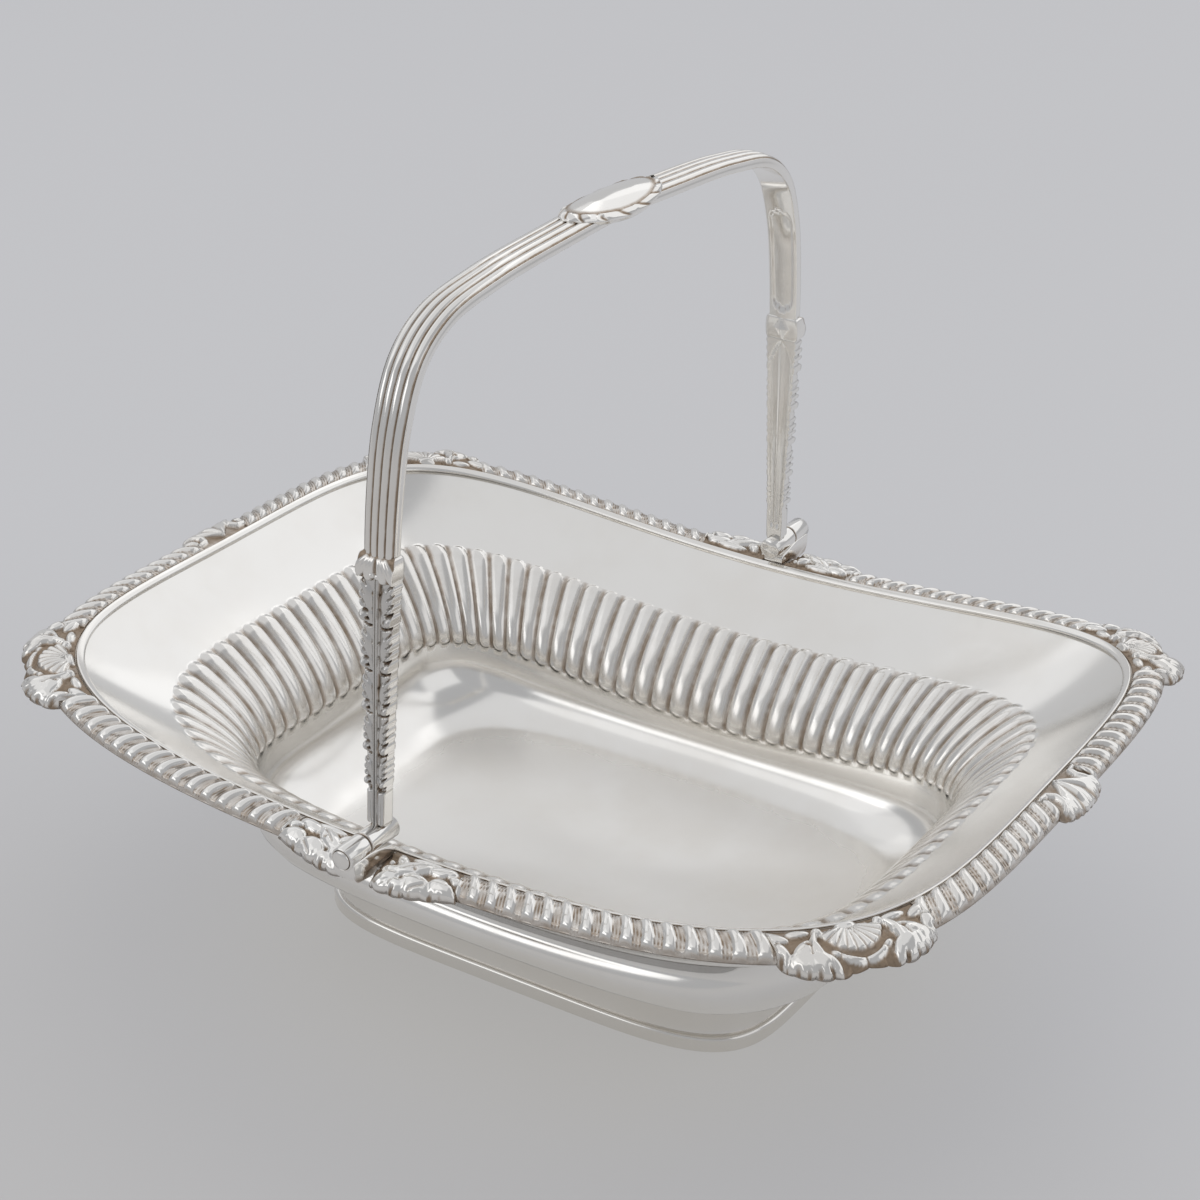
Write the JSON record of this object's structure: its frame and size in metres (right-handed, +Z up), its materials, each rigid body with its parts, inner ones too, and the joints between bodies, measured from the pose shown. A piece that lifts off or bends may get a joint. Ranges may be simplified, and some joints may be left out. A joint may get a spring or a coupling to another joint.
{
  "type": "swing-handled basket",
  "caption": "Oblong silver table basket with a fluted bowl, gadroon and shell border, oblong foot and a swing handle over the middle.",
  "frame": {"origin": "on the table, under the middle of the foot", "axes": "+X along the basket's length, +Y across it along the handle's hinge line, +Z up"},
  "size_m": [0.3488, 0.2772, 0.2587],
  "materials": {
    "bowl": "polished sterling silver, soft with wear, a little tarnish in the flutes",
    "foot": "polished sterling silver with tarnish at the moulding",
    "border": "cast and chased silver, bright on the crests and brown in the hollows",
    "hinge": "plain silver with tarnish at the joints",
    "handle": "cast and chased silver, bright on the crests and brown in the hollows"
  },
  "bodies": {
    "basket": {"bowl": "bowl", "foot_wall": "foot", "foot_band": "foot", "rim_wire": "border", "end_gadroons_back_left": "border", "end_gadroons_back_right": "border", "end_gadroons_front_left": "border", "end_gadroons_front_right": "border", "side_gadroons_back_left": "border", "side_gadroons_back_right": "border", "side_gadroons_front_left": "border", "side_gadroons_front_right": "border", "corner_shell_back_left": "border", "corner_shell_back_right": "border", "corner_shell_front_left": "border", "corner_shell_front_right": "border", "hinge_leaf_back_left": "border", "hinge_leaf_back_right": "border", "hinge_leaf_front_left": "border", "hinge_leaf_front_right": "border", "end_shell_left": "border", "end_shell_right": "border", "hinge_bracket_back": "hinge", "hinge_bracket_front": "hinge", "fixed_knuckle_back": "hinge", "fixed_knuckle_front": "hinge", "hinge_pin_back": "hinge", "hinge_pin_front": "hinge"},
    "handle": {"handle_knuckle_back": "handle", "handle_knuckle_front": "handle", "handle_leg_back": "handle", "handle_leg_front": "handle", "leg_collar_back": "handle", "leg_collar_front": "handle", "handle_arch": "handle", "handle_cartouche": "handle"}
  },
  "joints": [
    {"name": "handle_swing", "type": "hinge", "parent": "basket", "child": "handle", "pos_m": [0, 0, 0.0924], "axis": [0, 1, 0], "range_deg": [-79.5, 76.5]}
  ]
}
